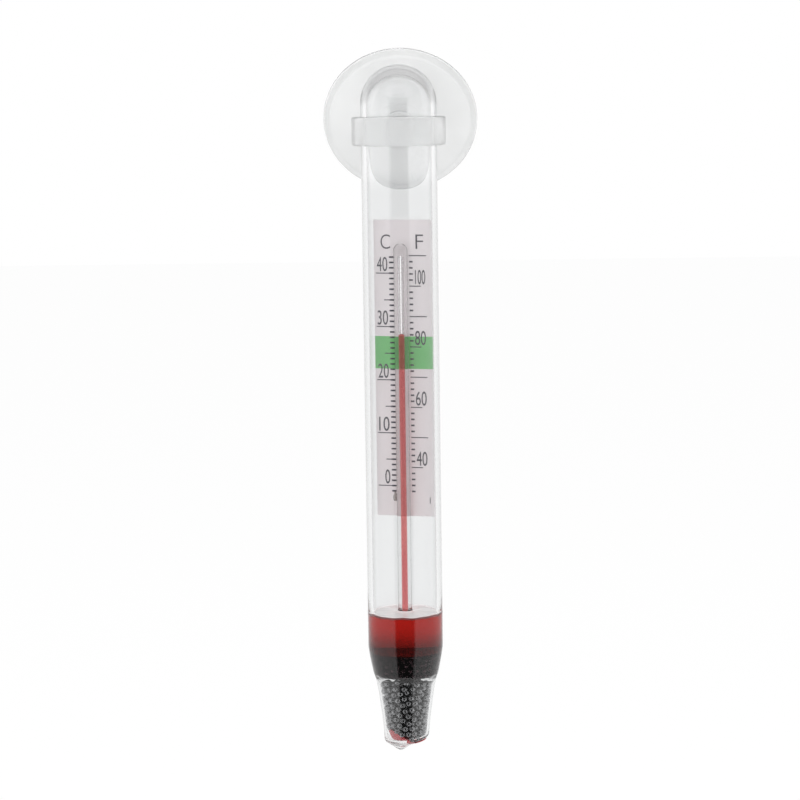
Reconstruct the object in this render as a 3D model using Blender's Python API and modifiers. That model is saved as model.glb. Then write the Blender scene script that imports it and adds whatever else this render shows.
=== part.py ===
"""A glass aquarium thermometer held by a soft suction cup.

Axes: +Z up along the glass tube, the scale faces -Y, the suction cup faces +Y.
Origin: the centre of the suction cup's rim plane, where the cup meets a pane.
Every size below is in metres, written as millimetres times MM. Heights whose
names end in _Z are measured up the tube from the tip of its glass pip.
"""

import math

import bmesh
import bpy
from mathutils import Matrix, Vector

MM = 0.001

# Clearances between solids
SEAL_GAP = 0.2 * MM  # glass fused to glass, and what fills the glass
FIT_GAP = 0.3 * MM  # soft collar round the glass
BORE_GAP = 0.05 * MM  # liquid thread in its bore
MERGE = 1e-6

# Glass envelope
TUBE_LENGTH = 110.0 * MM  # tip of the pip to the top of the dome
TUBE_R = 6.0 * MM
GLASS_WALL = 0.85 * MM
DOME_WALL = 1.35 * MM
SEAM_Z = 22.5 * MM  # middle of the stem's base, where the glass is sealed
BASE_THICKNESS = 0.7 * MM

# Liquid reservoir below the seam
SHOULDER_Z = 17.2 * MM  # where the wall starts to draw in
LEDGE_Z = 12.5 * MM  # where it ends on the ballast tube
LEDGE_R = 5.15 * MM
TAPER_POWER = 1.25
FLOOR_Z = 16.3 * MM  # middle of the glass floor
FLOOR_THICKNESS = 0.6 * MM

# Ballast tube
BALLAST_TOP_R = 5.0 * MM
BALLAST_KNEE_R = 4.3 * MM
BALLAST_KNEE_Z = 8.5 * MM
BALLAST_TOE_R = 3.6 * MM
BALLAST_TOE_Z = 1.9 * MM
BALLAST_END_Z = 0.7 * MM
BALLAST_WALL = 0.8 * MM
PIP_TIP_R = 0.55 * MM
PIP_ROOT_R = 1.25 * MM
PIP_OFFSET = 0.95 * MM  # towards -X of the tube's axis

# Shot and wax in the ballast tube
PELLET_R = 0.54 * MM
PELLET_GAP = 0.08 * MM
PELLET_BEDDING = 0.1 * MM  # how far the pellets' centres stand proud of the core
ROW_PITCH = 0.92 * MM
SHOT_BANDS = 3
WAX_TOP_Z = 3.1 * MM

# Capillary stem and its liquid
STEM_R = 1.1 * MM
STEM_TOP_Z = 81.9 * MM
STEM_FLARE = 0.8 * MM
BORE_R = 0.31 * MM
BORE_TOP_Z = 80.0 * MM
COLUMN_TOP_Z = 67.6 * MM
MENISCUS_LENGTH = 1.5 * MM

# Printed scale film, behind the stem
FILM_THICKNESS = 0.12 * MM
FILM_BOTTOM_Z = 38.1 * MM
FILM_TOP_Z = 85.6 * MM
FILM_SIDE_GAP = 0.13 * MM
GLUE_R = 0.28 * MM
GLUE_HALF_HEIGHT = 0.7 * MM
GLUE_Z = 41.3 * MM

# Soft holder: suction cup, neck and collar
CUP_TILT = math.radians(24)
CUP_R = 12.5 * MM
CUP_HEIGHT = 4.0 * MM  # rim plane to the bend of the neck
CUP_LIP = 0.9 * MM
CUP_HOLLOW = 1.5 * MM
CUP_BRIM_WIDTH = 1.05 * MM
CUP_BRIM_THICKNESS = 0.6 * MM
CUP_STEP = 0.3 * MM
CUP_CROWN = 2.2 * MM
BOSS_R = 3.3 * MM
BOSS_CHAMFER = 0.35 * MM
NECK_LENGTH = 2.6 * MM  # collar to the bend
NECK_WIDTH = 5.0 * MM
NECK_HEIGHT = 2.6 * MM
NECK_ROOT_HEIGHT = 3.4 * MM
NECK_ROUND = 0.35 * MM
COLLAR_WALL = 1.1 * MM
COLLAR_HEIGHT = 4.5 * MM
COLLAR_DROP = 10.4 * MM  # top of the dome to the middle of the collar
COLLAR_ROUND = 0.35 * MM

# Facets
SEGMENTS = 32
THREAD_SEGMENTS = 16
ARC_STEPS = 8
CORNER_STEPS = 2

# Places worked out from the sizes
WALL_AXIS = Vector((0, math.cos(CUP_TILT), math.sin(CUP_TILT)))  # from the cup into the pane
BEND = -CUP_HEIGHT * WALL_AXIS
COLLAR_Z = TUBE_LENGTH - COLLAR_DROP
COLLAR_IN_R = TUBE_R + FIT_GAP
COLLAR_OUT_R = COLLAR_IN_R + COLLAR_WALL
TUBE_FOOT = Vector((0, BEND.y - NECK_LENGTH - COLLAR_OUT_R, BEND.z - COLLAR_Z))
TUBE_IN_R = TUBE_R - GLASS_WALL
BASE_TOP = SEAM_Z + BASE_THICKNESS / 2
BASE_BOTTOM = SEAM_Z - BASE_THICKNESS / 2
FLOOR_TOP = FLOOR_Z + FLOOR_THICKNESS / 2
FLOOR_BOTTOM = FLOOR_Z - FLOOR_THICKNESS / 2
BALLAST_TOP = LEDGE_Z - SEAL_GAP
COLUMN_R = BORE_R - BORE_GAP


def clear_scene():
    """Remove whatever the file starts with."""
    for item in list(bpy.data.objects):
        bpy.data.objects.remove(item, do_unlink=True)


def finish(name, color, roughness, metallic=0.0, transmission=0.0, ior=1.5):
    """A Principled material."""
    material = bpy.data.materials.new(name)
    material.use_nodes = True
    shader = material.node_tree.nodes["Principled BSDF"]
    shader.inputs["Base Color"].default_value = (*color, 1)
    shader.inputs["Roughness"].default_value = roughness
    shader.inputs["Metallic"].default_value = metallic
    shader.inputs["Transmission Weight"].default_value = transmission
    shader.inputs["IOR"].default_value = ior
    return material


def arc(centre_r, centre_z, radius, start, end, steps=ARC_STEPS):
    """Points of an arc in a turning profile, from start to end in degrees above +X."""
    angles = [math.radians(start + (end - start) * i / steps) for i in range(steps + 1)]
    return [
        (centre_r + radius * math.cos(a), centre_z + radius * math.sin(a)) for a in angles
    ]


def on_axis(point):
    """The point moved exactly on to the turning axis."""
    return (0.0, point[1])


def evaluated_mesh(piece):
    """A new mesh of the object with its modifiers applied."""
    bpy.context.view_layer.update()
    graph = bpy.context.evaluated_depsgraph_get()
    return bpy.data.meshes.new_from_object(piece.evaluated_get(graph))


def settle(piece, sharp_angle=35):
    """Apply the modifiers and shade the piece smooth, with its corners kept sharp."""
    mesh = evaluated_mesh(piece)
    piece.modifiers.clear()
    piece.data = mesh
    mesh.shade_smooth()
    mesh.set_sharp_from_angle(angle=math.radians(sharp_angle))


def place(piece, collection, material=None, parent=None):
    """Link the piece to its collection, give it its finish and hang it on its parent."""
    collection.objects.link(piece)
    piece.parent = parent
    if material:
        piece.data.materials.append(material)
    return piece


def turned(name, profile, closed=False, segments=SEGMENTS):
    """A solid turned round local Z. The profile of (radius, height) runs down the outer side."""
    count = len(profile)
    edges = [(i, i + 1) for i in range(count - 1)]
    if closed:
        edges.append((count - 1, 0))
    mesh = bpy.data.meshes.new(name)
    mesh.from_pydata([(r, 0, z) for r, z in profile], edges, [])
    piece = bpy.data.objects.new(name, mesh)
    screw = piece.modifiers.new("Turn", "SCREW")
    screw.steps = segments
    screw.render_steps = segments
    screw.use_merge_vertices = True
    screw.merge_threshold = MERGE
    return piece


def boolean(piece, operation, tool):
    """Cut the tool from the piece or join it on."""
    modifier = piece.modifiers.new(tool.name, "BOOLEAN")
    modifier.operation = operation
    modifier.solver = "EXACT"
    modifier.object = tool


def helper_object(name, mesh, cutters):
    """An object that only shapes another one."""
    tool = bpy.data.objects.new(name, mesh)
    tool.hide_render = True
    tool.display_type = "WIRE"
    cutters.objects.link(tool)
    return tool


def cylinder_tool(name, radius, length, matrix, cutters):
    """A closed cylinder along the matrix's Z axis."""
    mesh = bpy.data.meshes.new(name)
    shape = bmesh.new()
    bmesh.ops.create_cone(
        shape, cap_ends=True, segments=SEGMENTS, radius1=radius, radius2=radius, depth=length
    )
    shape.to_mesh(mesh)
    shape.free()
    tool = helper_object(name, mesh, cutters)
    tool.matrix_world = matrix
    return tool


def shell_radius(z):
    """The reservoir's outer radius at a height."""
    drawn_in = max(0.0, (SHOULDER_Z - z) / (SHOULDER_Z - LEDGE_Z))
    return TUBE_R - (TUBE_R - LEDGE_R) * drawn_in**TAPER_POWER


def ballast_radius(z):
    """The ballast tube's outer radius at a height above its toe."""
    if z > BALLAST_KNEE_Z:
        share = (z - BALLAST_KNEE_Z) / (BALLAST_TOP - BALLAST_KNEE_Z)
        return BALLAST_KNEE_R + (BALLAST_TOP_R - BALLAST_KNEE_R) * share
    share = (z - BALLAST_TOE_Z) / (BALLAST_KNEE_Z - BALLAST_TOE_Z)
    return BALLAST_TOE_R + (BALLAST_KNEE_R - BALLAST_TOE_R) * share


def heights(low, high, steps):
    """Evenly spaced heights from low to high."""
    return [low + (high - low) * i / steps for i in range(steps + 1)]


def make_suction_disc(collection, cutters, material):
    """The cup: a dished disc with a thin brim and a boss that takes the neck."""
    crown_r = CUP_R - CUP_BRIM_WIDTH
    lip_r = CUP_R - CUP_LIP
    crown_base = CUP_BRIM_THICKNESS + CUP_STEP

    def crown(r):
        return crown_base + CUP_CROWN * (1 - (r / crown_r) ** 2)

    def hollow(r):
        return CUP_HOLLOW * (1 - (r / lip_r) ** 2)

    radii = heights(BOSS_R, crown_r, ARC_STEPS - 2)
    profile = [(0, CUP_HEIGHT), (BOSS_R - BOSS_CHAMFER, CUP_HEIGHT)]
    profile.append((BOSS_R, CUP_HEIGHT - BOSS_CHAMFER))
    profile += [(r, crown(r)) for r in radii]
    profile.append((crown_r, CUP_BRIM_THICKNESS))
    profile.append((CUP_R, CUP_BRIM_THICKNESS / 2))
    profile.append((CUP_R, 0))
    profile += [(r, hollow(r)) for r in reversed(heights(0, lip_r, ARC_STEPS - 2))]
    disc = turned("suction_disc", profile, segments=SEGMENTS + 8)
    disc.rotation_euler.x = math.pi / 2 + CUP_TILT
    place(disc, collection, material)
    seat = cylinder_tool(
        "neck_seat",
        NECK_HEIGHT / 2 + FIT_GAP,
        2 * BOSS_R + CUP_HEIGHT,
        Matrix.Translation(BEND) @ Matrix.Rotation(math.pi / 2, 4, "Y"),
        cutters,
    )
    boolean(disc, "DIFFERENCE", seat)
    settle(disc)


def make_neck(collection, cutters, material):
    """The short bar from the cup to the collar, rounded about the bend at its back."""
    reach = NECK_LENGTH + COLLAR_OUT_R - TUBE_R
    outline = arc(0, 0, NECK_HEIGHT / 2, 90, 270, ARC_STEPS)
    outline += [(NECK_LENGTH / 2, -NECK_HEIGHT / 2)]
    outline += [(NECK_LENGTH, -NECK_ROOT_HEIGHT / 2), (reach, -NECK_ROOT_HEIGHT / 2)]
    outline += [(reach, NECK_ROOT_HEIGHT / 2), (NECK_LENGTH, NECK_ROOT_HEIGHT / 2)]
    outline += [(NECK_LENGTH / 2, NECK_HEIGHT / 2)]
    curve = bpy.data.curves.new("neck_outline", "CURVE")
    curve.dimensions = "2D"
    curve.fill_mode = "BOTH"
    curve.extrude = NECK_WIDTH / 2 - NECK_ROUND
    curve.bevel_depth = NECK_ROUND
    curve.bevel_resolution = 1
    curve.offset = -NECK_ROUND
    spline = curve.splines.new("POLY")
    spline.points.add(len(outline) - 1)
    for point, (x, y) in zip(spline.points, outline):
        point.co = (x, y, 0, 1)
    spline.use_cyclic_u = True
    drawing = bpy.data.objects.new("neck_drawing", curve)
    cutters.objects.link(drawing)
    mesh = evaluated_mesh(drawing)
    bpy.data.objects.remove(drawing, do_unlink=True)
    shape = bmesh.new()
    shape.from_mesh(mesh)
    bmesh.ops.remove_doubles(shape, verts=shape.verts, dist=MERGE)
    bmesh.ops.recalc_face_normals(shape, faces=shape.faces)
    shape.to_mesh(mesh)
    shape.free()
    neck = bpy.data.objects.new("neck", mesh)
    forward, up = Vector((0, -1, 0)), Vector((0, 0, 1))
    turn = Matrix((forward, up, forward.cross(up))).transposed().to_4x4()
    neck.matrix_world = Matrix.Translation(BEND) @ turn
    place(neck, collection, material)
    collar_space = cylinder_tool(
        "collar_space",
        COLLAR_OUT_R + SEAL_GAP,
        2 * COLLAR_HEIGHT,
        Matrix.Translation((0, TUBE_FOOT.y, BEND.z)),
        cutters,
    )
    boolean(neck, "DIFFERENCE", collar_space)
    settle(neck)


def make_collar(collection, material, tube_axis):
    """The ring that grips the glass."""
    low, high = COLLAR_Z - COLLAR_HEIGHT / 2, COLLAR_Z + COLLAR_HEIGHT / 2
    inner, outer, bend = COLLAR_IN_R, COLLAR_OUT_R, COLLAR_ROUND
    profile = arc(outer - bend, high - bend, bend, 90, 0, CORNER_STEPS)
    profile += arc(outer - bend, low + bend, bend, 0, -90, CORNER_STEPS)
    profile += arc(inner + bend, low + bend, bend, -90, -180, CORNER_STEPS)
    profile += arc(inner + bend, high - bend, bend, 180, 90, CORNER_STEPS)
    settle(place(turned("collar_ring", profile, closed=True), collection, material, tube_axis))


def make_envelope(collection, material, tube_axis):
    """The clear tube over the scale, closed by a dome."""
    bottom = BASE_TOP + SEAL_GAP
    outer = arc(0, TUBE_LENGTH - TUBE_R, TUBE_R, 90, 0)
    inner = arc(0, TUBE_LENGTH - DOME_WALL - TUBE_IN_R, TUBE_IN_R, 0, 90)
    outer[0] = on_axis(outer[0])
    inner[-1] = on_axis(inner[-1])
    profile = outer + [(TUBE_R, bottom), (TUBE_IN_R, bottom)] + inner
    settle(place(turned("envelope_tube", profile), collection, material, tube_axis))


def make_stem(collection, material, tube_axis):
    """The capillary stem, on a base that is sealed into the wall."""
    top = arc(0, STEM_TOP_Z - STEM_R, STEM_R, 90, 0, CORNER_STEPS)
    top[0] = on_axis(top[0])
    flare = arc(STEM_R + STEM_FLARE, BASE_TOP + STEM_FLARE, STEM_FLARE, 180, 270, CORNER_STEPS)
    base = [(TUBE_R, BASE_TOP), (TUBE_R, BASE_BOTTOM), (BORE_R, BASE_BOTTOM)]
    bore_end = arc(0, BORE_TOP_Z - BORE_R, BORE_R, 0, 90, CORNER_STEPS)
    bore_end[-1] = on_axis(bore_end[-1])
    stem = turned("capillary_stem", top + flare + base + bore_end)
    settle(place(stem, collection, material, tube_axis))


def make_reservoir(collection, glass, spirit, tube_axis):
    """The bulb below the seam: its wall, its floor and the liquid between them."""
    taper = heights(SHOULDER_Z, LEDGE_Z, ARC_STEPS - 2)
    top = BASE_BOTTOM - SEAL_GAP
    wall = [(TUBE_R, top)] + [(shell_radius(z), z) for z in taper]
    wall += [(shell_radius(z) - GLASS_WALL, z) for z in reversed(taper)] + [(TUBE_IN_R, top)]
    settle(place(turned("reservoir_shell", wall, closed=True), collection, glass, tube_axis))

    def inside(z):
        return (shell_radius(z) - GLASS_WALL - SEAL_GAP, z)

    floor = [(0, FLOOR_TOP), inside(FLOOR_TOP), inside(FLOOR_BOTTOM), (0, FLOOR_BOTTOM)]
    settle(place(turned("reservoir_floor", floor), collection, glass, tube_axis))

    low = FLOOR_TOP + SEAL_GAP
    shoulder = [inside(z) for z in heights(max(SHOULDER_Z, low), low, CORNER_STEPS)]
    liquid = [(0, top), inside(top)] + shoulder + [(0, low)]
    settle(place(turned("reservoir_liquid", liquid), collection, spirit, tube_axis))


def make_thread(collection, spirit, tube_axis):
    """The liquid in the bore: the long thread and the short head that shows the reading."""
    head_low = COLUMN_TOP_Z - MENISCUS_LENGTH
    thread_top = head_low - BORE_GAP
    thread = [(0, thread_top), (COLUMN_R, thread_top), (COLUMN_R, BASE_BOTTOM), (0, BASE_BOTTOM)]
    piece = turned("liquid_column", thread, segments=THREAD_SEGMENTS)
    settle(place(piece, collection, spirit, tube_axis))
    crown = arc(0, COLUMN_TOP_Z - COLUMN_R, COLUMN_R, 90, 0, CORNER_STEPS)
    crown[0] = on_axis(crown[0])
    head = turned("meniscus", crown + [(COLUMN_R, head_low), (0, head_low)], segments=THREAD_SEGMENTS)
    settle(place(head, collection, spirit, tube_axis))


def make_ballast_tube(collection, cutters, material, tube_axis):
    """The glass cup that holds the shot, with the pip where it was drawn off."""
    walls = [BALLAST_TOE_Z, BALLAST_KNEE_Z, BALLAST_TOP]

    def toe(radius, end_z, start, end):
        depth = BALLAST_TOE_Z - end_z
        circle = arc(0, 0, 1, start, end, ARC_STEPS - 2)
        return [(radius * x, BALLAST_TOE_Z + depth * z) for x, z in circle]

    inner = toe(BALLAST_TOE_R - BALLAST_WALL, BALLAST_END_Z + BALLAST_WALL, -90, 0)
    inner[0] = on_axis(inner[0])
    inner += [(ballast_radius(z) - BALLAST_WALL, z) for z in walls[1:]]
    outer = [(ballast_radius(z), z) for z in reversed(walls[1:])]
    outer += toe(BALLAST_TOE_R, BALLAST_END_Z, 0, -90)
    outer[-1] = on_axis(outer[-1])
    tube = place(turned("ballast_tube", inner + outer), collection, material, tube_axis)
    root = BALLAST_END_Z + BALLAST_WALL / 2
    mesh = bpy.data.meshes.new("pip")
    shape = bmesh.new()
    bmesh.ops.create_cone(
        shape,
        cap_ends=True,
        segments=THREAD_SEGMENTS,
        radius1=PIP_TIP_R,
        radius2=PIP_ROOT_R,
        depth=root,
        matrix=Matrix.Translation((-PIP_OFFSET, 0, root / 2)),
    )
    shape.to_mesh(mesh)
    shape.free()
    pip = helper_object("pip", mesh, cutters)
    pip.parent = tube_axis
    boolean(tube, "UNION", pip)
    settle(tube)


def make_shot(name, low, high, inner_radius, collection, cutters, material, tube_axis):
    """A band of pellets against the glass, bedded on a core that stands for those within."""
    count = max(1, int((high - low - 2 * PELLET_R) / ROW_PITCH)) + 1
    rows = heights(low + PELLET_R, high - PELLET_R, count - 1)
    ring = {z: inner_radius(z) - SEAL_GAP - PELLET_R for z in rows}
    around = int(2 * math.pi * min(ring.values()) / (2 * PELLET_R + PELLET_GAP))
    mesh = bpy.data.meshes.new(name + "_pellets")
    shape = bmesh.new()
    for level, z in enumerate(rows):
        for i in range(around):
            angle = 2 * math.pi * (i + level % 2 / 2) / around
            spot = Vector((ring[z] * math.cos(angle), ring[z] * math.sin(angle), z))
            bmesh.ops.create_icosphere(
                shape, subdivisions=1, radius=PELLET_R, matrix=Matrix.Translation(spot)
            )
    shape.to_mesh(mesh)
    shape.free()
    pellets = helper_object(name + "_pellets", mesh, cutters)
    pellets.parent = tube_axis
    side = [(ring[z] - PELLET_BEDDING, z) for z in reversed(rows)]
    core = [(0, rows[-1])] + side + [(0, rows[0])]
    band = place(turned(name, core), collection, material, tube_axis)
    boolean(band, "UNION", pellets)
    settle(band)


def make_ballast(collection, cutters, shot, wax, tube_axis):
    """What fills the bottom: bonded shot, loose shot in bands, and the sealing wax."""

    def shell_inside(z):
        return shell_radius(z) - GLASS_WALL

    def tube_inside(z):
        return ballast_radius(z) - BALLAST_WALL

    common = (collection, cutters, shot, tube_axis)
    make_shot("bonded_shot", LEDGE_Z, FLOOR_BOTTOM - SEAL_GAP, shell_inside, *common)
    low, high = WAX_TOP_Z + SEAL_GAP, BALLAST_TOP
    band = (high - low + PELLET_GAP) / SHOT_BANDS
    for i in range(SHOT_BANDS):
        start = low + i * band
        make_shot(f"loose_shot_{i + 1}", start, start + band - PELLET_GAP, tube_inside, *common)

    end = BALLAST_END_Z + BALLAST_WALL + SEAL_GAP
    toe_r = tube_inside(BALLAST_TOE_Z) - SEAL_GAP
    circle = arc(0, 0, 1, 0, -90, ARC_STEPS - 2)
    bottom = [(toe_r * x, BALLAST_TOE_Z + (BALLAST_TOE_Z - end) * z) for x, z in circle]
    bottom[-1] = on_axis(bottom[-1])
    top = [(0, WAX_TOP_Z), (tube_inside(WAX_TOP_Z) - SEAL_GAP, WAX_TOP_Z)]
    settle(place(turned("sealing_wax", top + bottom), collection, wax, tube_axis))


def make_scale(collection, film_finish, glue_finish, tube_axis):
    """The printed film behind the stem, and the dot of glue that ties it to the stem."""
    front = STEM_R + SEAL_GAP
    back = front + FILM_THICKNESS
    width = 2 * (math.sqrt(TUBE_IN_R**2 - back**2) - FILM_SIDE_GAP)
    size = (width, FILM_THICKNESS, FILM_TOP_Z - FILM_BOTTOM_Z)
    mesh = bpy.data.meshes.new("scale_film")
    shape = bmesh.new()
    bmesh.ops.create_cube(shape, size=1, matrix=Matrix.Diagonal((*size, 1)))
    shape.to_mesh(mesh)
    shape.free()
    film = bpy.data.objects.new("scale_film", mesh)
    film.location = (0, (front + back) / 2, (FILM_BOTTOM_Z + FILM_TOP_Z) / 2)
    place(film, collection, film_finish, tube_axis)

    glue_y = front - SEAL_GAP - GLUE_R
    reach = STEM_R + SEAL_GAP + GLUE_R
    mesh = bpy.data.meshes.new("film_glue")
    shape = bmesh.new()
    stretch = Matrix.Diagonal((GLUE_R, GLUE_R, GLUE_HALF_HEIGHT, 1))
    bmesh.ops.create_uvsphere(shape, u_segments=12, v_segments=8, radius=1, matrix=stretch)
    shape.to_mesh(mesh)
    shape.free()
    mesh.shade_smooth()
    glue = bpy.data.objects.new("film_glue", mesh)
    glue.location = (-math.sqrt(reach**2 - glue_y**2), glue_y, GLUE_Z)
    place(glue, collection, glue_finish, tube_axis)


def main():
    """Build the thermometer."""
    clear_scene()
    parts = bpy.data.collections.new("glass_thermometer")
    cutters = bpy.data.collections.new("cutters")
    for collection in (parts, cutters):
        bpy.context.scene.collection.children.link(collection)
    tube_axis = bpy.data.objects.new("tube_axis", None)
    tube_axis.location = TUBE_FOOT
    parts.objects.link(tube_axis)
    bpy.context.view_layer.update()

    glass = finish("clear glass", (0.95, 0.97, 0.97), 0.02, transmission=1.0, ior=1.5)
    soft = finish("soft clear PVC", (0.88, 0.9, 0.9), 0.15, transmission=0.9, ior=1.52)
    spirit = finish("red spirit", (0.75, 0.03, 0.03), 0.05, transmission=0.6, ior=1.37)
    steel = finish("steel shot", (0.42, 0.42, 0.43), 0.3, metallic=1.0)
    wax = finish("sealing wax", (0.6, 0.09, 0.1), 0.5)
    film = finish("printed film", (0.93, 0.9, 0.9), 0.4, transmission=0.3)
    glue = finish("clear glue", (0.7, 0.7, 0.68), 0.3)

    make_suction_disc(parts, cutters, soft)
    make_neck(parts, cutters, soft)
    make_collar(parts, soft, tube_axis)
    make_envelope(parts, glass, tube_axis)
    make_stem(parts, glass, tube_axis)
    make_reservoir(parts, glass, spirit, tube_axis)
    make_thread(parts, spirit, tube_axis)
    make_ballast_tube(parts, cutters, glass, tube_axis)
    make_ballast(parts, cutters, steel, wax, tube_axis)
    make_scale(parts, film, glue, tube_axis)


main()
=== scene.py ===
"""Looks of the glass aquarium thermometer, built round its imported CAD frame.

Sizes are in millimetres in the tube's own frame: X to the viewer's right, Y away
from the viewer, Z up from the tip of the pip, with the tube's axis at X = Y = 0.
MM turns them into the frame's metres.
"""

import logging
import math
from collections.abc import Callable
from dataclasses import dataclass, replace
from enum import Enum
from functools import cache

import bmesh
import bpy
import numpy as np
from mathutils import Matrix, Vector


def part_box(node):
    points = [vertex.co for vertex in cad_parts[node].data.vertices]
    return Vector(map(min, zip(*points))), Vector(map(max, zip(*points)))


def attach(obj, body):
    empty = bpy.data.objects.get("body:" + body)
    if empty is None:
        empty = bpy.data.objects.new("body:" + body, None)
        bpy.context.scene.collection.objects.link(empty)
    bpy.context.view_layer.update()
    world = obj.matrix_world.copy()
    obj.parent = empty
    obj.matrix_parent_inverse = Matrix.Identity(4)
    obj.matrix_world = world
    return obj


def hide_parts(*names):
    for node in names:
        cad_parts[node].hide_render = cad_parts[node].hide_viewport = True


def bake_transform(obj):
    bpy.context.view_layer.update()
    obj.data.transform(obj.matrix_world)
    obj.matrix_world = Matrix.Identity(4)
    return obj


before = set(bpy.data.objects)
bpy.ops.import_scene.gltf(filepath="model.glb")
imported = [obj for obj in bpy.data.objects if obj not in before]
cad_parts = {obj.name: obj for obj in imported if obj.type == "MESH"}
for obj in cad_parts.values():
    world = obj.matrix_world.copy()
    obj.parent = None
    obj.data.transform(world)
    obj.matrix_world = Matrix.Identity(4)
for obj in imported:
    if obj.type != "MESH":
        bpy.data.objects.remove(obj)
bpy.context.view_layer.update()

MM = 0.001
LOG = logging.getLogger("thermometer")
Profile = list[tuple[float, float]]
Color = tuple[float, float, float]
Warp = Callable[[float, float, float], tuple[float, float, float]]
Value = bpy.types.NodeSocket | float | tuple[float, ...]
Sockets = bpy.types.NodeInputs | bpy.types.NodeOutputs


class Body(Enum):
    """The rigid bodies of the frame."""

    CUP = "suction_cup"
    NECK = "neck"
    TUBE = "tube"
    HEAD = "liquid_head"


class Slot(Enum):
    """The record's material slots."""

    PVC = "soft_pvc"
    GLASS = "clear_glass"
    SPIRIT = "red_spirit"
    SHOT = "steel_shot"
    WAX = "sealing_wax"
    FILM = "printed_film"
    GLUE = "clear_glue"


class Unit(Enum):
    """The two sides of the scale."""

    CELSIUS = "C"
    FAHRENHEIT = "F"


# ---------------------------------------------------------------- places


@dataclass(frozen=True)
class TubeFrame:
    """Where the tube stands in the CAD frame.

    Args:
        foot: the tip of the pip, on the tube's axis, in metres.
        radius: the outer radius in millimetres.
        length: the height of the dome's top in millimetres.
    """

    foot: Vector
    radius: float
    length: float

    @classmethod
    def from_nodes(cls) -> "TubeFrame":
        """Read the frame from the boxes of the glass nodes.

        Returns:
            The tube's frame.
        """
        low, high = (Vector(corner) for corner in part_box("envelope_tube"))
        foot_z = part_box("ballast_tube")[0][2]
        foot = Vector(((low.x + high.x) / 2, (low.y + high.y) / 2, foot_z))
        return cls(foot, (high.x - low.x) / 2 / MM, (high.z - foot_z) / MM)

    def at(self, x: float, y: float, z: float) -> Vector:
        """Turn a place in the tube's frame, in millimetres, into metres in the CAD frame."""
        return self.foot + Vector((x, y, z)) * MM

    def matrix(self) -> Matrix:
        """The matrix that takes millimetres in the tube's frame to the CAD frame."""
        return Matrix.Translation(self.foot) @ Matrix.Scale(MM, 4)


# ---------------------------------------------------------------- mesh tools


def arc(
    centre_r: float, centre_z: float, radius: float, start: float, end: float, steps: int = 8
) -> Profile:
    """Points of an arc in a turning profile.

    Args:
        centre_r: the centre's radius from the axis.
        centre_z: the centre's height.
        radius: the arc's own radius.
        start: the first angle in degrees above the outward direction.
        end: the last angle.
        steps: how many steps lie between them.

    Returns:
        The points from start to end.
    """
    points = []
    for i in range(steps + 1):
        a = math.radians(start + (end - start) * i / steps)
        points.append((centre_r + radius * math.cos(a), centre_z + radius * math.sin(a)))
    return points


def evenly(low: float, high: float, steps: int) -> list[float]:
    """Evenly spaced values from low to high, with a number of steps between them."""
    return [low + (high - low) * i / steps for i in range(steps + 1)]


def smoothstep(low: float, high: float, value: float) -> float:
    """How far a value has come on a soft ramp from 0 at low to 1 at high."""
    t = min(1.0, max(0.0, (value - low) / (high - low)))
    return t * t * (3 - 2 * t)


def lathe(
    shape: bmesh.types.BMesh, profile: Profile, segments: int, warp: Warp | None = None
) -> list[bmesh.types.BMFace]:
    """Turn a profile round Z into the shape. Its faces look outwards where it runs down.

    Args:
        shape: the mesh that receives the faces.
        profile: points of (radius, height); a radius of 0 makes a pole.
        segments: how many facets go round.
        warp: moves each finished point, if given.

    Returns:
        The new faces.
    """
    faces = []
    rings = []
    for r, z in profile:
        spots = segments if r > 1e-6 else 1
        ring = []
        for j in range(spots):
            a = 2 * math.pi * j / segments
            spot = (r * math.cos(a), r * math.sin(a), z)
            ring.append(shape.verts.new(warp(*spot) if warp else spot))
        rings.append(ring)
    for upper, lower in zip(rings, rings[1:]):
        for j in range(segments):
            k = (j + 1) % segments
            corners = [upper[j % len(upper)], lower[j % len(lower)]]
            corners += [lower[k % len(lower)], upper[k % len(upper)]]
            unique = list(dict.fromkeys(corners))
            if len(unique) > 2:
                faces.append(shape.faces.new(unique))
    return faces


def mesh_object(
    name: str, shape: bmesh.types.BMesh, matrix: Matrix, sharp: float = 180
) -> bpy.types.Object:
    """Make a smooth shaded object of a finished shape.

    Args:
        name: the piece's name.
        shape: the shape, which is freed.
        matrix: takes the shape's units to metres in the CAD frame.
        sharp: the angle in degrees above which an edge stays sharp.

    Returns:
        The linked object.
    """
    shape.transform(matrix)
    mesh = bpy.data.meshes.new(name)
    shape.to_mesh(mesh)
    shape.free()
    mesh.shade_smooth()
    if sharp < 180:
        mesh.set_sharp_from_angle(angle=math.radians(sharp))
    piece = bpy.data.objects.new(name, mesh)
    bpy.context.scene.collection.objects.link(piece)
    return piece


def apply_modifiers(piece: bpy.types.Object, sharp: float) -> None:
    """Write the piece's modifiers into its mesh.

    Args:
        piece: the object.
        sharp: the angle in degrees above which an edge stays sharp.
    """
    bpy.context.view_layer.update()
    graph = bpy.context.evaluated_depsgraph_get()
    mesh = bpy.data.meshes.new_from_object(piece.evaluated_get(graph))
    piece.modifiers.clear()
    piece.data = mesh
    mesh.shade_smooth()
    mesh.set_sharp_from_angle(angle=math.radians(sharp))


def dress(
    piece: bpy.types.Object, material: bpy.types.Material, slot: Slot, body: Body | None, *nodes: str
) -> None:
    """Give a piece its finish and its place in the frame, and report it.

    Args:
        piece: the object.
        material: its finish.
        slot: the record's slot of that finish; not used.
        body: the body that it rides on, or None to leave it unattached.
        nodes: the CAD nodes that it stands for.
    """
    piece.data.materials.append(material)
    if body:
        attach(piece, body.value)
    if nodes:
        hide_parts(*nodes)
    LOG.info("%s: %d faces", piece.name, len(piece.data.polygons))


# ---------------------------------------------------------------- finishes


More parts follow.
